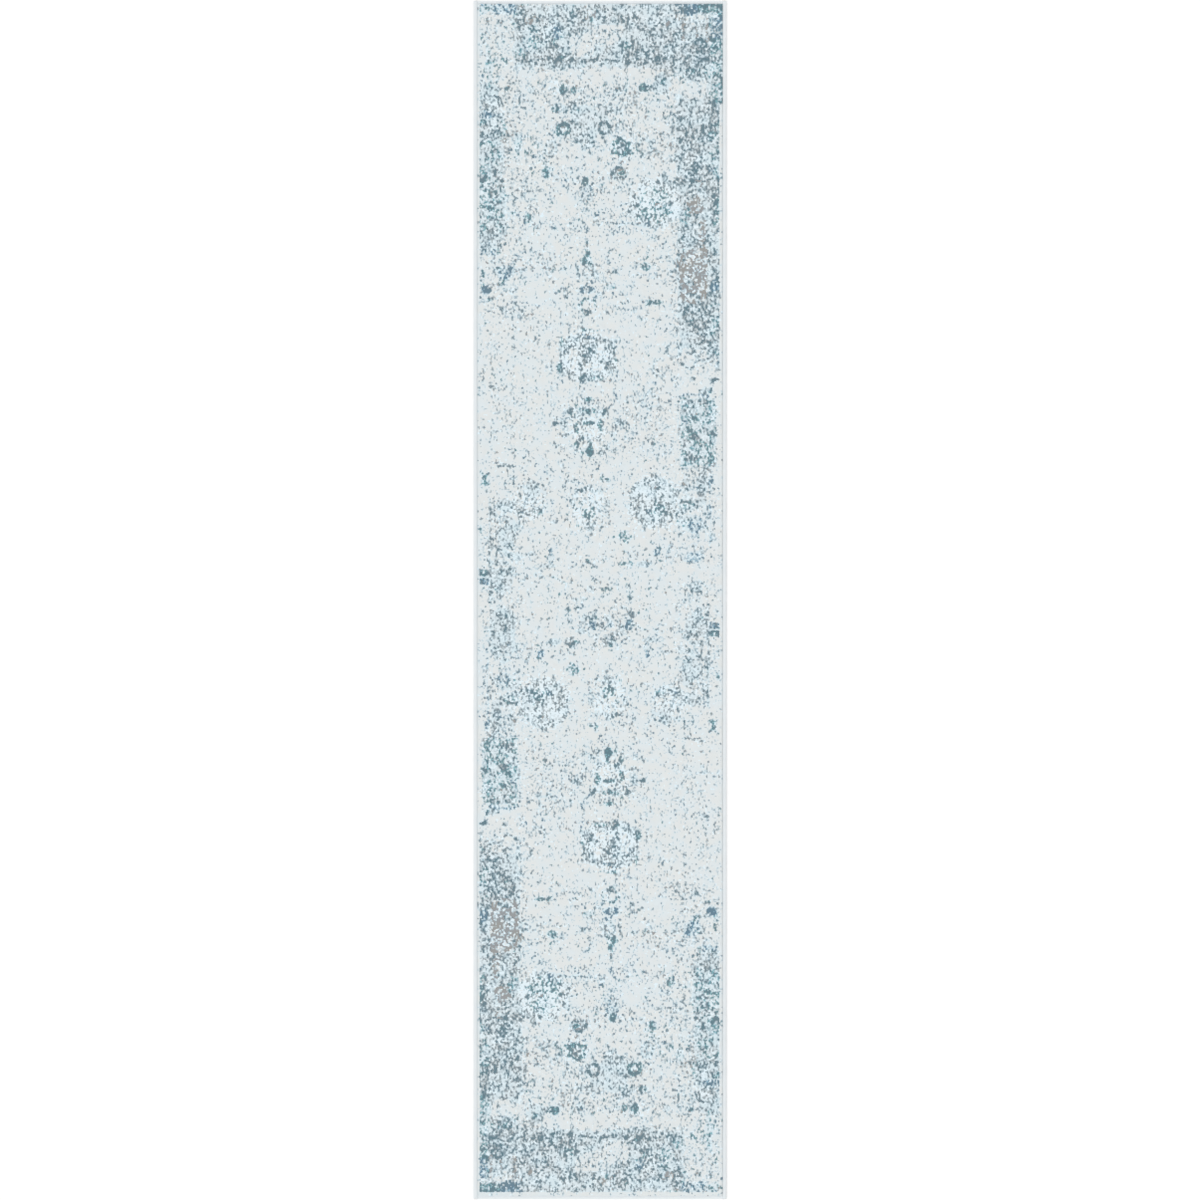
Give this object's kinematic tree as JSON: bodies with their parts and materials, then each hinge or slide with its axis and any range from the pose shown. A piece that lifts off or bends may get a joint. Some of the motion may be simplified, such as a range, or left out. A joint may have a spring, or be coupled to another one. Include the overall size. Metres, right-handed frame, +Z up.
{
  "type": "runner rug",
  "caption": "Long narrow machine-woven runner rug: cut pile in a faded Persian design on a latex-backed cloth, with overcast long sides and folded end hems.",
  "frame": {"origin": "on the floor, under the centre of the rug", "axes": "+X across the rug to the right-hand binding, +Y along it to the head end, +Z up out of the pile"},
  "size_m": [0.762, 3.61, 0.01],
  "materials": {
    "pile_yarn": "matte",
    "ground_weave": "matte",
    "latex": "satin",
    "binding_yarn": "matte",
    "filler_cord": "matte",
    "hem_tape": "matte",
    "sewing_thread": "satin",
    "label_satin": "satin"
  },
  "bodies": {
    "root": {"pile": "pile_yarn", "ground_cloth": "ground_weave", "latex_coat": "latex", "side_binding_left": "binding_yarn", "side_binding_right": "binding_yarn", "edge_cord_left": "filler_cord", "edge_cord_right": "filler_cord", "end_hem_foot": "hem_tape", "end_hem_head": "hem_tape", "hem_stitching_foot": "sewing_thread", "hem_stitching_head": "sewing_thread", "care_label": "label_satin"}
  },
  "joints": []
}
